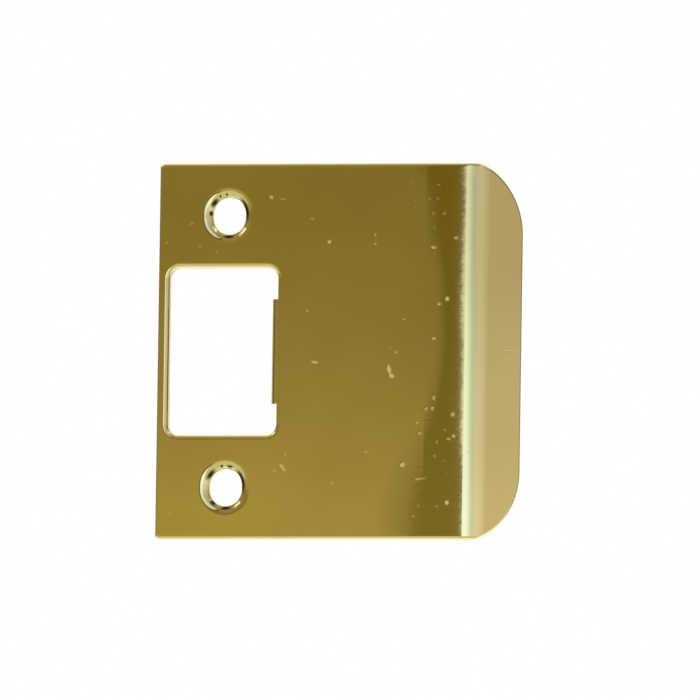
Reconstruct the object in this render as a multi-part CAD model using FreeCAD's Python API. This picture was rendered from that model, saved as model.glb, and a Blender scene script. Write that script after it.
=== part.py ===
# Extended-lip door strike plate, pressed and bent from one sheet of brass.
# X runs from the screw line towards the lip, Y from the door side into the jamb, Z up.
# The origin lies midway between the two screw holes, on the back face that meets the jamb.
import FreeCAD, Part
import math
import os

# Sheet: the outline's front edge is rolled over by the blanking die
sheet_thickness = 1.5
outline_roll = 0.55
stop_corner_radius = 0.65

# Heights, from the middle of the plate outwards
opening_height = 25.4
screw_to_opening = 7.94
screw_to_end = 7.94

# Widths, from the screw line
screw_to_stop_edge = 10.8
stop_web = 1.75
opening_width = 16.75
screw_to_bend = 36.7

# Latch opening, rolled more by its punch, and the tang bent back from its lip side
opening_corner_radius = 1.6
opening_roll = 0.75
tang_inset = 1.0
tang_relief_height = 4.76
tang_bend_radius = 0.3
tang_angle = 90.0
tang_depth = 7.0
tang_corner_radius = 2.0

# Lip that guides the latch in: a gentle lead-in, a tight bend and a flat flange with round corners
lead_in_length = 6.0
lead_in_angle = 2.5
lip_angle = 42.0
lip_bend_radius = 3.7
lip_flat_length = 6.25
lip_corner_radius = 11.3
lip_corner_meet_angle = 20.0
lip_corner_blend = 1.5

# Countersunk screw holes, short slots that let the plate be set up or down
screw_hole_width = 5.1
screw_slot_travel = 0.6
countersink_width = 6.3
countersink_depth = 0.69
countersink_roll = 1.8
countersink_wall_left = 0.05

plate_height = opening_height + 2 * (screw_to_opening + screw_to_end)
plate_top = plate_height / 2
lip_side_top = plate_top - lip_corner_radius * math.cos(math.radians(lip_corner_meet_angle))
screw_height = opening_height / 2 + screw_to_opening
stop_edge = -screw_to_stop_edge
opening_left = stop_edge + stop_web
opening_right = opening_left + opening_width
tang_height = opening_height - 2 * tang_relief_height
tang_face = opening_right - tang_inset
tang_bend_start = tang_face + tang_bend_radius + sheet_thickness
sink_inset = (countersink_width - screw_hole_width) / 2
sink_wall = math.hypot(sink_inset, countersink_depth)
sink_slope = math.atan2(countersink_depth, sink_inset)
sink_roll_limit = (sink_wall - countersink_wall_left) / math.tan(sink_slope / 2)
front = -sheet_thickness
cut_through = 2 * sheet_thickness
touching = 1e-6
up = FreeCAD.Vector(0, 0, 1)
into_jamb = FreeCAD.Vector(0, 1, 0)


class SheetPen:
    """Draws the section of a sheet that runs along X (way 1 or -1) and bends into the jamb."""

    def __init__(self, start_x, way):
        self.back = FreeCAD.Vector(start_x, 0, 0)
        self.heading = 0.0
        self.way = way
        self.front_edges = []
        self.back_edges = []

    def along(self, heading):
        return FreeCAD.Vector(self.way * math.cos(heading), math.sin(heading), 0)

    def through(self, heading):
        """Direction from the front skin to the back skin."""
        return FreeCAD.Vector(-self.way * math.sin(heading), math.cos(heading), 0)

    def front_point(self):
        return self.back - self.through(self.heading) * sheet_thickness

    def straight(self, length):
        front_start = self.front_point()
        back_end = self.back + self.along(self.heading) * length
        self.back_edges.append(Part.makeLine(self.back, back_end))
        self.back = back_end
        self.front_edges.append(Part.makeLine(front_start, self.front_point()))

    def bend(self, inner_radius, turn):
        """Turns by an angle in degrees, with inner_radius on the back skin."""
        centre = self.back + self.through(self.heading) * inner_radius
        headings = [self.heading + math.radians(turn) * share for share in (0, 0.5, 1)]
        outer_radius = inner_radius + sheet_thickness
        for radius, edges in ((inner_radius, self.back_edges), (outer_radius, self.front_edges)):
            points = [centre - self.through(heading) * radius for heading in headings]
            edges.append(Part.Arc(*points).toShape())
        self.heading = headings[-1]
        self.back = centre - self.through(self.heading) * inner_radius

    def solid(self, height):
        """Extrudes the section to a height centred on the origin."""
        start_front = self.front_edges[0].Vertexes[0].Point
        start_back = self.back_edges[0].Vertexes[0].Point
        caps = [Part.makeLine(start_front, start_back), Part.makeLine(self.front_point(), self.back)]
        wire = Part.Wire(Part.__sortEdges__(self.front_edges + self.back_edges + caps))
        face = Part.Face(wire)
        face.translate(up * (-height / 2))
        return face.extrude(up * height)


def slot_wire(width, travel, centre):
    """Upright slot outline: two half circles of a width, with their centres a travel apart."""
    radius = width / 2
    rise = up * (travel / 2)
    side = FreeCAD.Vector(radius, 0, 0)
    top_arc = Part.Arc(centre + rise - side, centre + rise + up * radius, centre + rise + side)
    low_arc = Part.Arc(centre - rise + side, centre - rise - up * radius, centre - rise - side)
    right = Part.makeLine(centre + rise + side, centre - rise + side)
    left = Part.makeLine(centre - rise - side, centre + rise - side)
    return Part.Wire([top_arc.toShape(), right, low_arc.toShape(), left])


def box_between(low, high):
    size = high - low
    return Part.makeBox(size.x, size.y, size.z, low)


def lip_corner_cutter(tip, back_along, through, side):
    """Waste outside the round corner at the upper (side 1) or lower (side -1) end of the lip."""
    outward = up * side
    centre = tip + outward * lip_side_top + back_along * lip_corner_radius
    corner = tip + outward * (lip_side_top + lip_corner_radius)
    arc_start = centre - back_along * lip_corner_radius
    arc_end = centre + outward * lip_corner_radius
    arc_middle = centre + (outward - back_along) * (lip_corner_radius * math.sqrt(0.5))
    beyond_tip = -back_along * cut_through
    beyond_end = outward * cut_through
    far_corner = corner + beyond_end + beyond_tip
    outline = [arc_end, arc_end + beyond_end, far_corner, arc_start + beyond_tip, arc_start]
    round_corner = Part.Arc(arc_start, arc_middle, arc_end).toShape()
    wire = Part.Wire([round_corner, *Part.makePolygon(outline).Edges])
    face = Part.Face(wire)
    face.translate(through * -cut_through)
    return face.extrude(through * (2 * cut_through))


def bent_sheet():
    """The sheet with its lip, its outline and the rolled front edge that blanking leaves."""
    pen = SheetPen(stop_edge, 1)
    pen.straight(screw_to_stop_edge + screw_to_bend - lead_in_length)
    pen.bend(lead_in_length / math.radians(lead_in_angle), lead_in_angle)
    pen.bend(lip_bend_radius, lip_angle - lead_in_angle)
    pen.straight(lip_flat_length)
    sheet = pen.solid(plate_height)
    back_along_lip = -pen.along(pen.heading)
    through_lip = pen.through(pen.heading)
    for side in (1, -1):
        sheet = sheet.cut(lip_corner_cutter(pen.back, back_along_lip, through_lip, side))
    stop_corners = [edge for edge in sheet.Edges if is_stop_corner(edge)]
    sheet = sheet.makeFillet(stop_corner_radius, stop_corners)
    lip_meetings = [edge for edge in sheet.Edges if is_lip_meeting(edge, through_lip)]
    sheet = sheet.makeFillet(lip_corner_blend, lip_meetings)
    skin = Part.Wire(pen.front_edges)
    skin.translate(up * -plate_height)
    skin = skin.extrude(up * (2 * plate_height))
    return sheet.makeFillet(outline_roll, skin_outline(sheet, skin))


def is_stop_corner(edge):
    """True for the two short edges through the sheet at the ends of its stop side."""
    ends = [vertex.Point for vertex in edge.Vertexes]
    on_side = all(abs(point.x - stop_edge) < touching for point in ends)
    on_end = all(abs(abs(point.z) - plate_top) < touching for point in ends)
    return on_side and on_end


def is_lip_meeting(edge, through):
    """True for the two short edges, square to the lip, where its round corners meet the plate's ends."""
    on_end = all(abs(abs(vertex.Point.z) - plate_top) < touching for vertex in edge.Vertexes)
    directions = [edge.tangentAt(at) for at in edge.ParameterRange]
    return on_end and all(abs(direction.dot(through)) > 1 - touching for direction in directions)


def skin_outline(sheet, skin):
    """Edges that bound the front skin: one of their two faces lies on it and the other doesn't."""
    def lies_on_skin(face):
        low_u, high_u, low_v, high_v = face.ParameterRange
        middle = face.valueAt((low_u + high_u) / 2, (low_v + high_v) / 2)
        return skin.distToShape(Part.Vertex(middle))[0] < touching
    edges = []
    for edge in sheet.Edges:
        faces = sheet.ancestorsOfType(edge, Part.Face)
        if sum(lies_on_skin(face) for face in faces) == 1:
            edges.append(edge)
    return edges


def latch_opening(sheet):
    """Cuts the latch opening and rounds its front edge, which the punch draws in."""
    half = opening_height / 2
    low = FreeCAD.Vector(opening_left, front - cut_through, -half)
    high = FreeCAD.Vector(opening_right, cut_through, half)
    punch = box_between(low, high)
    corners = [edge for edge in punch.Edges if abs(edge.tangentAt(edge.FirstParameter).y) > 0.5]
    sheet = sheet.cut(punch.makeFillet(opening_corner_radius, corners))
    rim = [edge for edge in sheet.Edges if is_opening_rim(edge)]
    return sheet.makeFillet(opening_roll, rim)


def is_opening_rim(edge):
    """True for an edge of the latch opening that lies in the front face."""
    box = edge.BoundBox
    in_front = abs(box.YMin - front) < touching and abs(box.YMax - front) < touching
    in_width = box.XMin > opening_left - touching and box.XMax < opening_right + touching
    return in_front and in_width and abs(box.Center.z) < opening_height / 2 + touching


def add_tang(sheet):
    """Frees the tang's strip beside the opening and adds the tang bent square into the jamb."""
    half = tang_height / 2
    low = FreeCAD.Vector(opening_right - opening_width / 2, front - cut_through, -half)
    high = FreeCAD.Vector(tang_bend_start, cut_through, half)
    sheet = sheet.cut(box_between(low, high))
    pen = SheetPen(tang_bend_start, -1)
    pen.bend(tang_bend_radius, tang_angle)
    pen.straight(tang_depth - sheet_thickness - tang_bend_radius)
    tang = pen.solid(tang_height)
    tip_corners = [edge for edge in tang.Edges if is_tang_corner(edge, pen.back.y)]
    tang = tang.makeFillet(tang_corner_radius, tip_corners)
    return sheet.fuse(tang).removeSplitter()


def is_tang_corner(edge, tip_y):
    """True for the two short edges through the tang at the ends of its tip."""
    ends = [vertex.Point for vertex in edge.Vertexes]
    at_tip = all(abs(point.y - tip_y) < touching for point in ends)
    across = abs(ends[0].z - ends[-1].z) < touching
    return at_tip and across


def screw_hole(sheet, height):
    """Cuts one countersunk slot and rolls the countersink's rim, as far as its wall lets it."""
    centre = FreeCAD.Vector(0, 0, height)
    rim = slot_wire(countersink_width, screw_slot_travel, centre + into_jamb * front)
    floor = slot_wire(screw_hole_width, screw_slot_travel, centre + into_jamb * (front + countersink_depth))
    cone = Part.makeLoft([rim, floor], True, True)
    shank = Part.Face(slot_wire(screw_hole_width, screw_slot_travel, centre + into_jamb * front))
    sheet = sheet.cut(cone).cut(shank.extrude(into_jamb * (sheet_thickness + cut_through)))
    edges = [edge for edge in sheet.Edges if is_sink_rim(edge, centre)]
    return sheet.makeFillet(min(countersink_roll, sink_roll_limit), edges)


def is_sink_rim(edge, centre):
    """True for an edge of the countersink's mouth, in the front face."""
    box = edge.BoundBox
    in_front = abs(box.YMin - front) < touching and abs(box.YMax - front) < touching
    reach = countersink_width / 2 + screw_slot_travel
    return in_front and abs(box.Center.x) < reach and abs(box.Center.z - centre.z) < reach


strike_plate = add_tang(latch_opening(bent_sheet()))
for hole_height in (screw_height, -screw_height):
    strike_plate = screw_hole(strike_plate, hole_height)

os.makedirs("parts", exist_ok=True)
strike_plate.Solids[0].exportStep("parts/strike_plate.step")
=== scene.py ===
"""Door strike plate in polished brass: its finish and its small studio, laid out as an add-on."""
import math

import bmesh
import bpy
from mathutils import Matrix, Vector


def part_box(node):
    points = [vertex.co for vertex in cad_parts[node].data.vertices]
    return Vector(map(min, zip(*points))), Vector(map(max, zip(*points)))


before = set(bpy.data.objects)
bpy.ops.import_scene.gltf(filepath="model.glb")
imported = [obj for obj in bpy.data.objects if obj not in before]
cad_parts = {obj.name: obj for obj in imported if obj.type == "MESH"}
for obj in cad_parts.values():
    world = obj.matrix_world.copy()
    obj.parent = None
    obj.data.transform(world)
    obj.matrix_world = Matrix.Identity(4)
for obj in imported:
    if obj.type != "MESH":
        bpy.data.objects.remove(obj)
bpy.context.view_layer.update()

bl_info = {
    "name": "Door strike plate",
    "version": (1, 0, 0),
    "blender": (4, 5, 0),
    "location": "3D View > Sidebar > Strike Plate",
    "description": "Finishes a brass door strike plate and sets it in a small studio",
    "category": "Object",
}

MM = 0.001
PLATE = "strike_plate"
# Y of the plate's front skin
FRONT_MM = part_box(PLATE)[0][1] / MM

# Where the plate was knocked in handling: place along X and Z, half length and half width in mm,
# and the turn of the mark in degrees
DEEP_NICKS = (
    (15.7, 16.6, 0.47, 0.43, 0),
    (25.25, -2.8, 1.19, 0.43, 78),
    (25.65, -3.8, 0.69, 0.53, 35),
    (27.5, -17.3, 0.58, 0.53, -40),
    (8.8, -17.5, 0.62, 0.50, 30),
    (9.15, -18.0, 0.56, 0.38, 50),
    (13.7, -1.7, 0.88, 0.35, 6),
    (6.6, 23.4, 0.56, 0.43, 25),
)
LIGHT_NICKS = (
    (8.4, 23.1, 0.75, 0.35, 0),
    (7.7, -18.2, 0.62, 0.43, -35),
    (16.6, -20.1, 0.47, 0.55, 0),
    (34.5, -23.0, 0.45, 0.53, 0),
    (32.2, -7.1, 0.33, 0.62, 0),
    (30.1, -12.5, 0.69, 0.43, -30),
    (31.8, 15.7, 0.83, 0.43, 0),
    (34.1, 7.9, 0.50, 0.55, 0),
    (32.8, 7.1, 0.50, 0.43, 0),
    (32.1, 1.9, 0.62, 0.43, 0),
    (13.0, 20.1, 0.50, 0.35, 0),
    (22.8, 17.6, 0.30, 0.62, 0),
    (22.8, 16.3, 0.38, 0.43, 0),
    (12.4, 6.1, 0.40, 0.55, 0),
    (21.8, -15.4, 0.75, 0.38, -20),
    (9.3, -15.7, 0.35, 0.62, 0),
    (30.0, -19.4, 1.00, 0.28, -8),
    (31.0, -8.8, 0.38, 0.45, 0),
    (32.0, -8.7, 0.33, 0.50, 0),
    (29.7, -10.9, 0.58, 0.33, 0),
    (26.2, -0.2, 0.38, 0.43, 0),
    (27.4, 4.8, 0.43, 0.38, 0),
    (-5.7, 19.4, 0.80, 0.30, -30),
    (-9.5, 16.5, 0.34, 0.40, 0),
    (-4.4, 16.0, 0.40, 0.40, 0),
    (-1.7, 15.0, 0.30, 0.40, 0),
    (-8.6, -24.6, 0.55, 0.32, 45),
)
# Faint dabs of the press tool, just before the bend, in the same terms
FAINT_DABS = (
    (28.42, 25.64, 0.48, 0.48, 0),
    (31.05, 23.10, 0.55, 0.41, 0),
    (32.41, 23.17, 0.48, 0.41, 0),
    (28.98, 22.86, 0.43, 0.41, 0),
    (28.87, 21.76, 0.48, 0.48, 0),
    (31.72, 20.89, 0.50, 0.58, 0),
    (33.41, 20.89, 0.50, 0.48, 0),
    (32.49, 25.25, 0.60, 0.36, 0),
    (35.30, 17.19, 0.60, 0.43, 0),
    (31.86, 18.79, 0.34, 0.53, 0),
    (31.92, 14.76, 0.41, 0.41, 0),
    (35.16, -9.62, 0.53, 0.62, 0),
    (34.56, -13.34, 0.67, 0.36, 0),
    (35.33, -12.90, 0.48, 0.48, 0),
    (32.77, -13.80, 0.41, 0.58, 0),
    (32.42, -15.94, 0.48, 0.48, 0),
    (30.92, -19.29, 0.58, 0.36, 0),
    (32.86, -23.55, 0.48, 0.43, 0),
    (29.19, -25.06, 0.55, 0.43, 0),
)
# A scratch across the lip, in the same terms, and the Y of the lip's skin there
LIP_SCRATCHES = (
    (42.7, 0.25, 1.4, 0.16, 0),
)
LIP_SKIN_MM = 2.8
# Painted shade: dark patches at the foot of the countersinks round the screw holes, in the same terms
PAINTED_SHADE = (
    (2.5, 21.7, 2.5, 0.90, 76),
    (0.0, 17.3, 1.3, 0.80, 0),
    (-2.2, 22.6, 1.1, 0.80, -48),
    (-2.75, 21.0, 0.6, 0.50, 90),
    (-1.38, 23.7, 0.5, 0.28, 90),
    (-0.38, 23.95, 0.45, 0.26, 90),
    (2.5, -19.6, 2.6, 0.90, 76),
    (0.15, -23.95, 1.15, 0.80, 0),
    (-1.8, -22.9, 0.8, 0.70, 45),
    (-2.2, -18.7, 1.3, 0.80, -48),
    (-0.54, -17.35, 0.5, 0.34, 90),
    (0.77, -17.4, 0.7, 0.50, 0),
)
# The screw holes are short upright slots, above and below the middle. The painted shade keeps to a ring
# round them, full within the first distance from the slot's middle line and gone at the second
HOLE_HEIGHT_MM = 20.64
HOLE_HALF_TRAVEL_MM = 0.3
PAINTED_SHADE_RING_MM = (2.95, 3.3)

# How deep the marks reach into the sheet from its skin, and which share of a mark has its full strength
MARK_REACH_MM = 1
SCRATCH_REACH_MM = 1.6
PAINTED_SHADE_REACH_MM = 1.3
DEEP_CORE = 0.2
SCRATCH_CORE = 0.2
PAINTED_SHADE_CORE = 0.4

# Fine patterns of the sheet. Buffing lines lie about 0.05 mm apart, which is too fine to show, so they are
# drawn further apart. A speck's core and rim are shares of the specks' spacing
BUFF_LENGTH_MM = 9
BUFF_DEPTH_MM = 3
BUFF_SPACING_MM = 0.3
RIPPLE_LENGTH_MM = 1.6
RIPPLE_SPACING_MM = 0.4
SPECK_SPACING_MM = 3.6
SPECK_CORE = 0.02
SPECK_RIM = 0.09
# The film begins where the noise of its patches passes the first value, and is at its most at the second
FILM_PATCH_MM = 20
FILM_NOISE = (0.4, 0.75)
FILM_MOST = 0.25
# Pressing marks the sheet more towards the bend: from the first X on, and fully at the second
BEND_SIDE_MM = (24, 31)
# Faces look into the jamb from the first share of +Y in their normal on, and fully at the second
BACK_FACING = (0.3, 0.6)

# Heights that the patterns and marks give the surface
BUFF_HEIGHT_MM = 0.0008
RIPPLE_HEIGHT_MM = 0.002
DAB_DEPTH_MM = 0.001
SPECK_DEPTH_MM = 0.003
SCRATCH_DEPTH_MM = 0.02
LIGHT_NICK_SHARE = 0.5

# Roughness that the patterns and marks add to the polish
BUFF_ROUGHNESS = 0.02
DAB_ROUGHNESS = 0.11
SPECK_ROUGHNESS = 0.2
DEEP_ROUGHNESS = 0.44
LIGHT_ROUGHNESS = 0.26
SCRATCH_ROUGHNESS = 0.2
PAINTED_SHADE_ROUGHNESS = 0.25
BACK_ROUGHNESS = 0.18

# Studio cards that only the mirror sees. Each has a name, a path of (place in mm, colour, level), the
# direction in which the path is swept, and steps of (distance in mm, share of the level that is left there)
UP, BACK, LEFT, RIGHT = (0, 0, 1), (0, 1, 0), (-1, 0, 0), (1, 0, 0)
WARM, AMBER, UMBER, SAND, OLIVE = "#FFF9C8", "#FFF8B8", "#FFEE7A", "#FFFBA4", "#FFF885"
GREY, COOL, PALE, SKY, MIST, HAZE = "#F4FAFF", "#D5DCFF", "#ABBEFF", "#98B3FF", "#A9BFFF", "#B3C5FF"
SIDE_STEPS = ((-70, 1.35), (-3, 1.13), (20, 1.0), (44, 0.89), (250, 0.6))
LEFT_STEPS = ((-70, 1.5), (-3, 1.28), (20, 1.0), (44, 0.84), (90, 0.95), (200, 1.1))
CARDS = (
    # The room that the flat face shows, with a curved right edge that draws the dark band
    ("front_card", (
        ((-27.2, -250, -70), WARM, 0.54), ((-27.0, -250, -7.6), WARM, 0.500),
        ((-26.6, -250, -4.2), WARM, 0.490), ((-25.4, -250, -0.4), WARM, 0.466),
        ((-21.0, -250, 5), WARM, 0.436), ((-16, -250, 10), WARM, 0.408),
        ((-10.5, -250, 20), WARM, 0.360), ((-10, -250, 31), AMBER, 0.331),
        ((-18, -250, 43), AMBER, 0.300), ((-24.5, -250, 52), AMBER, 0.300),
        ((-24.5, -250, 90), WARM, 0.339), ((-24.5, -250, 250), WARM, 0.393),
    ), LEFT, ((-4, 0.67), (2, 0.95), (25, 1.0), (300, 1.0))),
    # The dark band itself
    ("dark_flag", (
        ((-40, -251, -70), SAND, 0.300), ((-40, -251, -3), SAND, 0.251), ((-40, -251, 20), OLIVE, 0.226),
        ((-40, -251, 44), UMBER, 0.207), ((-40, -251, 250), UMBER, 0.140),
    ), RIGHT, ((0, 1.0), (44.5, 1.0))),
    # The window that lights the bend, with a soft left edge and a slope on its right
    ("window_edge", (
        ((4.4, -249.5, -70), PALE, 3.7), ((4.1, -249.5, -3), PALE, 3.1), ((2.9, -249.5, 9.5), PALE, 2.9),
        ((2.5, -249.5, 20), PALE, 2.75), ((2.6, -249.5, 30.5), PALE, 2.6), ((3.15, -249.5, 42), PALE, 2.45),
        ((2.8, -249.5, 48), PALE, 2.4), ((4.4, -249.5, 250), PALE, 1.65),
    ), RIGHT, ((-0.7, 0.06), (0.7, 1.0), (6, 1.0))),
    ("window_slope", (
        ((63, -249.8, -20), "#98B6FF", 4.00), ((63, -249.8, -3), "#98B6FF", 3.90),
        ((38, -249.8, 9), "#9ABAFF", 3.60), ((35, -249.8, 20), "#9ABAFF", 3.50),
        ((22, -249.8, 30), "#9EBAFF", 3.25), ((24, -249.8, 42), "#A8C0FF", 2.60),
        ((24, -249.8, 50), "#A8C0FF", 2.50),
    ), RIGHT, ((0, 1.0), (34, 0.857), (66, 0.69), (102, 0.59), (142, 0.57))),
    ("window", (
        ((8, -250, 0), SKY, 3.15), ((25, -250, 0), SKY, 3.3), ((55, -250, 0), SKY, 3.5),
        ((86, -250, 0), "#98B5FF", 3.0), ((118, -250, 0), "#9CB8FF", 2.3), ((154, -250, 0), MIST, 1.83),
        ((194, -235, 0), HAZE, 1.72), ((238, -210, 0), "#BAC8FF", 1.67), ((268, -170, 0), "#C0CBFF", 1.51),
        ((285, -130, 0), "#C5D0FF", 1.32), ((300, -85, 0), COOL, 1.0), ((320, 0, 0), COOL, 1.0),
        ((330, 60, 0), COOL, 1.0),
    ), UP, SIDE_STEPS),
    # The sides that the edges, the tang and the back show
    ("rear_card", (
        ((330, 60, 0), HAZE, 0.5), ((290, 140, 0), HAZE, 0.45), ((200, 300, 0), MIST, 1.8),
    ), UP, SIDE_STEPS),
    ("left_card", (
        ((-200, 300, 0), GREY, 0.70), ((-310, 145, 0), GREY, 0.60), ((-315, 125, 0), GREY, 0.15),
        ((-338, 25, 0), GREY, 0.15), ((-340, 5, 0), GREY, 0.42), ((-320, -250, 0), WARM, 0.36),
    ), UP, LEFT_STEPS),
    ("left_lamp", (
        ((-335, 130, 215), PALE, 3.4), ((-340, -60, 215), PALE, 3.4), ((-330, -200, 215), PALE, 3.4),
    ), UP, ((0, 1.0), (130, 1.0))),
    ("right_lamp", (
        ((200, -200, 300), PALE, 3.4), ((290, 0, 300), PALE, 3.4), ((290, 60, 300), PALE, 3.4),
    ), UP, ((0, 1.0), (120, 1.0))),
    # The ceiling and the light from below
    ("top_card", (
        ((-340, 0, 420), GREY, 0.4), ((340, 0, 420), GREY, 0.4),
    ), BACK, ((-420, 1.0), (-120, 1.1), (-60, 1.7), (100, 3.0), (420, 3.5))),
    ("low_card", (
        ((-250, -250, -70), "#D3E6FF", 1.05), ((250, -250, -70), "#D3E6FF", 1.05),
    ), (0, 1, -0.13), ((0, 1.0), (230, 1.2))),
    ("bounce_card", (
        ((-250, 0, -100), PALE, 3.2), ((250, 0, -100), PALE, 3.2),
    ), BACK, ((-20, 1.0), (200, 1.0))),
)

FLOOR_COLOUR = "#F4F4F2"
FLOOR_ROUGHNESS = 0.9
FLOOR_RADIUS_M = 4
FLOOR_SIDES = 96
SENSOR_MM = 36


def linear(hex_colour):
    """Turns an sRGB hex colour such as #E0C26C into linear red, green and blue."""
    channels = [int(hex_colour[at:at + 2], 16) / 255 for at in (1, 3, 5)]
    return [c / 12.92 if c <= 0.04045 else ((c + 0.055) / 1.055) ** 2.4 for c in channels]


def add_node(tree, kind, inputs=None, **settings):
    """Adds a node. Each input is a value, another node's output, or a node whose first output is meant."""
    node = tree.nodes.new(kind)
    for name, value in settings.items():
        setattr(node, name, value)
    for socket, value in (inputs or {}).items():
        if isinstance(value, bpy.types.Node):
            value = value.outputs[0]
        if isinstance(value, bpy.types.NodeSocket):
            tree.links.new(value, node.inputs[socket])
        else:
            node.inputs[socket].default_value = value
    return node


def new_material(name):
    """An empty node material."""
    material = bpy.data.materials.new(name)
    material.use_nodes = True
    material.node_tree.nodes.clear()
    return material


def mesh_object(name, bm):
    """Turns a bmesh into an object at the origin of the scene."""
    mesh = bpy.data.meshes.new(name)
    bm.to_mesh(mesh)
    bm.free()
    obj = bpy.data.objects.new(name, mesh)
    bpy.context.scene.collection.objects.link(obj)
    return obj


class BrassFinish(bpy.types.PropertyGroup):
    """How the brass was polished and how it has been handled, and the shade painted round its screw holes.
    """
    brass: bpy.props.FloatVectorProperty(
        name="Brass", description="Colour of the polished brass seen straight on",
        subtype="COLOR", size=3, min=0, max=1, default=linear("#E0C26C"))
    tarnish: bpy.props.FloatVectorProperty(
        name="Tarnish", description="Colour of the faint film where hands have dulled the brass",
        subtype="COLOR", size=3, min=0, max=1, default=linear("#C9A14E"))
    # Nicks and dabs are painted brighter and yellower than the skin: partly bare metal, partly a painted
    # glint
    bare_and_glint: bpy.props.FloatVectorProperty(
        name="Bare metal and glint", description="Colour of the bare brass in nicks and dabs",
        subtype="COLOR", size=3, min=0, max=1, default=linear("#F3CA5C"))
    polish: bpy.props.FloatProperty(
        name="Polish", description="Roughness of the polished sheet", subtype="FACTOR",
        min=0, max=1, default=0.042)
    wave_length: bpy.props.FloatProperty(
        name="Wave length", description="Spacing of the slow waves that pressing leaves in the sheet",
        subtype="DISTANCE", unit="LENGTH", default=14 * MM)
    wave_height: bpy.props.FloatProperty(
        name="Wave height", description="Height of those waves",
        subtype="DISTANCE", unit="LENGTH", default=0.03 * MM)
    # Painted shade: the dark colour laid at the foot of the countersinks round the screw holes
    paste: bpy.props.FloatVectorProperty(
        name="Painted shade", description="Colour of the polishing paste left around the screw holes",
        subtype="COLOR", size=3, min=0, max=1, default=linear("#3A3012"))
    nick_depth: bpy.props.FloatProperty(
        name="Nick depth", description="Depth of the deeper knocks on the face",
        subtype="DISTANCE", unit="LENGTH", default=0.011 * MM)


class StudioSetup(bpy.types.PropertyGroup):
    """Where the camera stands and how far the floor lies below."""
    camera_turn: bpy.props.FloatProperty(
        name="Turn", description="Angle of the camera towards the lip side",
        subtype="ANGLE", unit="ROTATION", default=math.radians(12))
    camera_drop: bpy.props.FloatProperty(
        name="Drop", description="Angle of the camera below the middle of the plate",
        subtype="ANGLE", unit="ROTATION", default=math.radians(4.4))
    camera_roll: bpy.props.FloatProperty(
        name="Roll", description="Lean of the camera to one side",
        subtype="ANGLE", unit="ROTATION", default=math.radians(0.85))
    field: bpy.props.FloatProperty(
        name="Field", description="Width that the picture takes in at the plate",
        subtype="DISTANCE", unit="LENGTH", default=106.16 * MM)
    aim_across: bpy.props.FloatProperty(
        name="Aim across", description="How far to the right of the plate's origin the picture is centred",
        subtype="DISTANCE", unit="LENGTH", default=18.39 * MM)
    aim_up: bpy.props.FloatProperty(
        name="Aim up", description="How far above the plate's origin the picture is centred",
        subtype="DISTANCE", unit="LENGTH", default=0.59 * MM)
    lens: bpy.props.FloatProperty(
        name="Lens", description="Focal length, long so that the plate shows no perspective",
        subtype="DISTANCE_CAMERA", unit="CAMERA", default=1200)
    floor_drop: bpy.props.FloatProperty(
        name="Floor drop", description="Height of the plate's middle above the floor",
        subtype="DISTANCE", unit="LENGTH", default=0.42)


def mark_field(tree, in_mm, marks, skin, depth, core):
    """Strength of a group of marks at a point: 1 in the core of each and 0 from its rim outwards.
    The marks lie at the Y of their skin and reach a depth from it, in mm. The core is a share of
    their size."""
    strongest = 0.0
    for x, z, half_length, half_width, turn in marks:
        inside = add_node(tree, "ShaderNodeMapping", {
            "Vector": in_mm, "Location": (x, skin, z), "Rotation": (0, math.radians(turn), 0),
            "Scale": (half_length, depth, half_width)}, vector_type="TEXTURE")
        strength = add_node(tree, "ShaderNodeTexGradient", {"Vector": inside},
                            gradient_type="SPHERICAL").outputs["Fac"]
        strongest = add_node(tree, "ShaderNodeMath", {0: strongest, 1: strength}, operation="MAXIMUM")
    return add_node(tree, "ShaderNodeMapRange", {
        "Value": strongest, "From Min": 0, "From Max": 1 - core, "To Min": 0, "To Max": 1},
        interpolation_type="SMOOTHSTEP")


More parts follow.
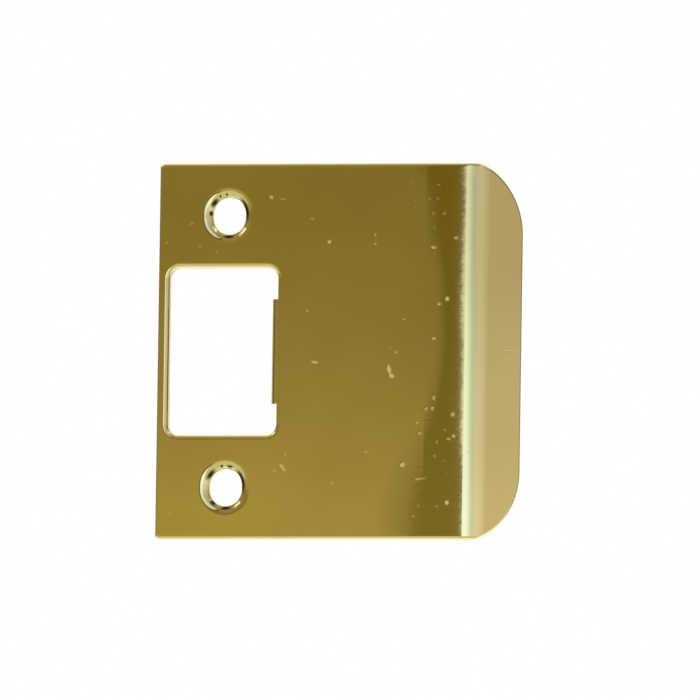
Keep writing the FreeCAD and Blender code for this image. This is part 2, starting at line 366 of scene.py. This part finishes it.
def polished_brass(finish):
    """Pressed sheet brass, buffed to a mirror and handled since."""
    # The mirror shows the room in warm yellow. Buffing leaves fine lines along X that fray its
    # highlights, pressing leaves slow waves, and handling leaves nicks, specks and a faint film.
    material = new_material("buffed_sheet_brass")
    tree = material.node_tree
    coordinates = add_node(tree, "ShaderNodeTexCoord").outputs
    in_mm = add_node(tree, "ShaderNodeMapping", {
        "Vector": coordinates["Object"], "Scale": (1 / MM, 1 / MM, 1 / MM)})
    along = add_node(tree, "ShaderNodeSeparateXYZ", {"Vector": in_mm}).outputs

    # Slow waves of the pressed sheet
    waves = add_node(tree, "ShaderNodeTexNoise", {
        "Vector": in_mm, "Scale": MM / finish.wave_length, "Detail": 1, "Roughness": 0.4})

    # Buffing lines, which run along X
    along_buff = add_node(tree, "ShaderNodeMapping", {
        "Vector": in_mm, "Scale": (1 / BUFF_LENGTH_MM, 1 / BUFF_DEPTH_MM, 1 / BUFF_SPACING_MM)})
    lines = add_node(tree, "ShaderNodeTexNoise", {
        "Vector": along_buff, "Scale": 1, "Detail": 2, "Roughness": 0.6})

    # Fine ripples of the press that fray the highlight of the bend
    near_bend = add_node(tree, "ShaderNodeMapRange", {
        "Value": along["X"], "From Min": BEND_SIDE_MM[0], "From Max": BEND_SIDE_MM[1]},
        interpolation_type="SMOOTHSTEP")
    along_ripples = add_node(tree, "ShaderNodeMapping", {
        "Vector": in_mm, "Scale": (1 / RIPPLE_LENGTH_MM, 1 / RIPPLE_LENGTH_MM, 1 / RIPPLE_SPACING_MM)})
    ripples = add_node(tree, "ShaderNodeTexNoise", {"Vector": along_ripples, "Scale": 1, "Detail": 1})
    ripple_share = add_node(tree, "ShaderNodeMath", {0: ripples, 1: near_bend}, operation="MULTIPLY")

    # Specks of handling all over, up to about 0.4 mm across
    specks = add_node(tree, "ShaderNodeTexVoronoi", {
        "Vector": in_mm, "Scale": 1 / SPECK_SPACING_MM, "Randomness": 1})
    speck_here = add_node(tree, "ShaderNodeMapRange", {
        "Value": specks.outputs["Distance"], "From Min": SPECK_CORE, "From Max": SPECK_RIM,
        "To Min": 1, "To Max": 0})

    deep = mark_field(tree, in_mm, DEEP_NICKS, FRONT_MM, MARK_REACH_MM, DEEP_CORE)
    light = mark_field(tree, in_mm, LIGHT_NICKS, FRONT_MM, MARK_REACH_MM, 0)
    dabs = mark_field(tree, in_mm, FAINT_DABS, FRONT_MM, MARK_REACH_MM, 0)
    scratch = mark_field(tree, in_mm, LIP_SCRATCHES, LIP_SKIN_MM, SCRATCH_REACH_MM, SCRATCH_CORE)

    # The painted shade keeps to the foot of each countersink. A point's distance from a slot's middle line
    # is found from its height above or below the slot's straight part
    upright = along["Z"]
    for reach in (HOLE_HEIGHT_MM, HOLE_HALF_TRAVEL_MM):
        upright = add_node(tree, "ShaderNodeMath", {0: upright}, operation="ABSOLUTE")
        upright = add_node(tree, "ShaderNodeMath", {0: upright, 1: reach}, operation="SUBTRACT")
    upright = add_node(tree, "ShaderNodeMath", {0: upright, 1: 0.0}, operation="MAXIMUM")
    from_hole = add_node(tree, "ShaderNodeCombineXYZ", {"X": along["X"], "Z": upright})
    from_hole = add_node(tree, "ShaderNodeVectorMath", {0: from_hole}, operation="LENGTH").outputs["Value"]
    ring = add_node(tree, "ShaderNodeMapRange", {
        "Value": from_hole, "From Min": PAINTED_SHADE_RING_MM[0], "From Max": PAINTED_SHADE_RING_MM[1],
        "To Min": 1, "To Max": 0}, interpolation_type="SMOOTHSTEP")
    paste = mark_field(tree, in_mm, PAINTED_SHADE, FRONT_MM, PAINTED_SHADE_REACH_MM, PAINTED_SHADE_CORE)
    paste = add_node(tree, "ShaderNodeMath", {0: paste, 1: ring}, operation="MULTIPLY")

    # Only the front was buffed: faces that look into the jamb keep the duller skin of the rolled sheet
    facing = add_node(tree, "ShaderNodeSeparateXYZ", {"Vector": coordinates["Normal"]}).outputs["Y"]
    back = add_node(tree, "ShaderNodeMapRange", {
        "Value": facing, "From Min": BACK_FACING[0], "From Max": BACK_FACING[1]})

    # Heights in mm, added up for one bump
    nick_depth = finish.nick_depth / MM
    height = 0.0
    for share, depth in (
            (waves, finish.wave_height / MM), (lines, BUFF_HEIGHT_MM), (ripple_share, RIPPLE_HEIGHT_MM),
            (dabs, -DAB_DEPTH_MM), (speck_here, -SPECK_DEPTH_MM), (deep, -nick_depth),
            (light, -nick_depth * LIGHT_NICK_SHARE), (scratch, -SCRATCH_DEPTH_MM)):
        height = add_node(tree, "ShaderNodeMath", {0: share, 1: depth, 2: height}, operation="MULTIPLY_ADD")
    bump = add_node(tree, "ShaderNodeBump", {"Height": height, "Strength": 1, "Distance": MM})

    # Roughness: the buffed mirror, frayed by its lines, which add half of theirs on average, and torn
    # in the nicks
    rough = finish.polish - BUFF_ROUGHNESS / 2
    for share, more in (
            (lines, BUFF_ROUGHNESS), (dabs, DAB_ROUGHNESS), (speck_here, SPECK_ROUGHNESS),
            (deep, DEEP_ROUGHNESS), (light, LIGHT_ROUGHNESS), (scratch, SCRATCH_ROUGHNESS),
            (paste, PAINTED_SHADE_ROUGHNESS), (back, BACK_ROUGHNESS)):
        rough = add_node(tree, "ShaderNodeMath", {0: share, 1: more, 2: rough},
                         operation="MULTIPLY_ADD", use_clamp=True)

    # Faint film in wide patches
    film = add_node(tree, "ShaderNodeTexNoise", {
        "Vector": in_mm, "Scale": 1 / FILM_PATCH_MM, "Detail": 3, "Roughness": 0.55})
    film_share = add_node(tree, "ShaderNodeMapRange", {
        "Value": film, "From Min": FILM_NOISE[0], "From Max": FILM_NOISE[1],
        "To Min": 0, "To Max": FILM_MOST})
    # A mix of colours takes them at inputs 6 and 7 and gives the result at output 2
    colour = add_node(tree, "ShaderNodeMix", {
        0: film_share, 6: (*finish.brass, 1), 7: (*finish.tarnish, 1)}, data_type="RGBA").outputs[2]
    # Knocks and dabs show bare metal, painted yellower and brighter than the polished skin: partly the
    # metal's own colour, partly a painted glint
    bare_and_glint_share = add_node(tree, "ShaderNodeMath", {0: deep, 1: light}, operation="MAXIMUM")
    bare_and_glint_share = add_node(tree, "ShaderNodeMath", {0: bare_and_glint_share, 1: dabs}, operation="MAXIMUM")
    colour = add_node(tree, "ShaderNodeMix", {
        0: bare_and_glint_share, 6: colour, 7: (*finish.bare_and_glint, 1)}, data_type="RGBA").outputs[2]
    # Painted shade: the countersink feet round the screw holes are darkened in the colour
    colour = add_node(tree, "ShaderNodeMix", {
        0: paste, 6: colour, 7: (*finish.paste, 1)}, data_type="RGBA").outputs[2]

    shader = add_node(tree, "ShaderNodeBsdfPrincipled", {
        "Base Color": colour, "Metallic": 1, "Roughness": rough, "Normal": bump})
    add_node(tree, "ShaderNodeOutputMaterial", {"Surface": shader})
    return material


class STRIKE_OT_finish_plate(bpy.types.Operator):
    """Gives the pressed plate its polished brass"""
    bl_idname = "strike.finish_plate"
    bl_label = "Finish the plate"

    def execute(self, context):
        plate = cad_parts[PLATE]
        brass = polished_brass(context.scene.strike_finish)
        for slot in plate.material_slots:
            slot.material = brass
        return {"FINISHED"}


def card_glow():
    """Evenly lit studio card: it only glows, by the amount painted on its corners."""
    material = new_material("lit_studio_card")
    tree = material.node_tree
    glow = add_node(tree, "ShaderNodeAttribute", attribute_name="glow").outputs["Color"]
    light = add_node(tree, "ShaderNodeEmission", {"Color": glow})
    add_node(tree, "ShaderNodeOutputMaterial", {"Surface": light})
    return material


def card(name, glow_material, path, way, steps):
    """A studio card that only reflections see. It is swept from a path of (place in mm, colour, level)
    along a direction, and steps of (distance in mm, share) say how much of the level is left there."""
    bm = bmesh.new()
    glow = bm.verts.layers.float_color.new("glow")
    way = Vector(way) * MM
    before, share_before = steps[0]
    row = []
    for point, colour, level in path:
        vert = bm.verts.new(Vector(point) * MM + way * before)
        vert[glow] = Vector((*linear(colour), 1)) * level * share_before
        row.append(vert)
    edges = [bm.edges.new(pair) for pair in zip(row, row[1:])]
    for distance, share in steps[1:]:
        made = bmesh.ops.extrude_edge_only(bm, edges=edges)["geom"]
        row = [item for item in made if isinstance(item, bmesh.types.BMVert)]
        new_edges = [item for item in made if isinstance(item, bmesh.types.BMEdge)]
        edges = [edge for edge in new_edges if all(vert in row for vert in edge.verts)]
        bmesh.ops.translate(bm, vec=way * (distance - before), verts=row)
        for vert in row:
            vert[glow] = vert[glow] * (share / share_before)
        before, share_before = distance, share
    obj = mesh_object(name, bm)
    obj.data.materials.append(glow_material)
    obj.visible_camera = False
    obj.visible_diffuse = False
    obj.visible_shadow = False


class STRIKE_OT_set_stage(bpy.types.Operator):
    """Lays the floor, sets the cards and the soft light, and places the camera"""
    bl_idname = "strike.set_stage"
    bl_label = "Set the stage"

    def execute(self, context):
        setup = context.scene.strike_setup
        self.floor(setup)
        self.cards()
        self.soft_light(context.scene)
        self.camera(context.scene, setup)
        context.scene.view_settings.view_transform = "Standard"
        return {"FINISHED"}

    def floor(self, setup):
        bm = bmesh.new()
        bmesh.ops.create_circle(bm, cap_ends=True, segments=FLOOR_SIDES, radius=FLOOR_RADIUS_M)
        bmesh.ops.translate(bm, vec=(0, 0, -setup.floor_drop), verts=bm.verts)
        floor = mesh_object("floor", bm)
        # Matt card scatters the light evenly, so the floor shows no glare
        material = new_material("matt_white_card")
        tree = material.node_tree
        shader = add_node(tree, "ShaderNodeBsdfPrincipled", {
            "Base Color": (*linear(FLOOR_COLOUR), 1), "Roughness": FLOOR_ROUGHNESS})
        add_node(tree, "ShaderNodeOutputMaterial", {"Surface": shader})
        floor.data.materials.append(material)

    def cards(self):
        glow = card_glow()
        for name, path, way, steps in CARDS:
            card(name, glow, path, way, steps)

    def soft_light(self, scene):
        world = bpy.data.worlds.new("white_room")
        world.use_nodes = True
        tree = world.node_tree
        tree.nodes.clear()
        room = add_node(tree, "ShaderNodeBackground", {"Color": (1, 1, 1, 1), "Strength": 1})
        add_node(tree, "ShaderNodeOutputWorld", {"Surface": room})
        scene.world = world

    def camera(self, scene, setup):
        turn, drop, roll = setup.camera_turn, setup.camera_drop, setup.camera_roll
        lens = bpy.data.cameras.new("camera")
        lens.lens = setup.lens
        lens.sensor_width = SENSOR_MM
        distance = setup.field * setup.lens / SENSOR_MM
        lens.clip_end = 4 * distance
        right = Vector((math.cos(turn), math.sin(turn), 0))
        upward = Vector((math.sin(turn) * math.sin(drop), -math.cos(turn) * math.sin(drop), math.cos(drop)))
        ahead = upward.cross(right)
        target = right * setup.aim_across + upward * setup.aim_up
        axes = Matrix((right, upward, -ahead)).transposed().to_4x4()
        camera = bpy.data.objects.new("camera", lens)
        stand = Matrix.Translation(target - ahead * distance)
        camera.matrix_world = stand @ axes @ Matrix.Rotation(roll, 4, "Z")
        scene.collection.objects.link(camera)
        scene.camera = camera


class STRIKE_PT_studio(bpy.types.Panel):
    """Sidebar panel with the plate's finish, its studio and the steps that make them"""
    bl_idname = "STRIKE_PT_studio"
    bl_label = "Strike plate"
    bl_space_type = "VIEW_3D"
    bl_region_type = "UI"
    bl_category = "Strike Plate"

    def draw(self, context):
        for settings, step in (
                (context.scene.strike_finish, STRIKE_OT_finish_plate),
                (context.scene.strike_setup, STRIKE_OT_set_stage)):
            box = self.layout.box()
            for name in settings.__annotations__:
                box.prop(settings, name)
            box.operator(step.bl_idname)


CLASSES = (BrassFinish, StudioSetup, STRIKE_OT_finish_plate, STRIKE_OT_set_stage, STRIKE_PT_studio)


def register():
    for cls in CLASSES:
        bpy.utils.register_class(cls)
    bpy.types.Scene.strike_finish = bpy.props.PointerProperty(type=BrassFinish)
    bpy.types.Scene.strike_setup = bpy.props.PointerProperty(type=StudioSetup)


def unregister():
    del bpy.types.Scene.strike_setup
    del bpy.types.Scene.strike_finish
    for cls in reversed(CLASSES):
        bpy.utils.unregister_class(cls)


def main():
    register()
    bpy.ops.strike.finish_plate()
    bpy.ops.strike.set_stage()


if __name__ == "__main__":
    main()
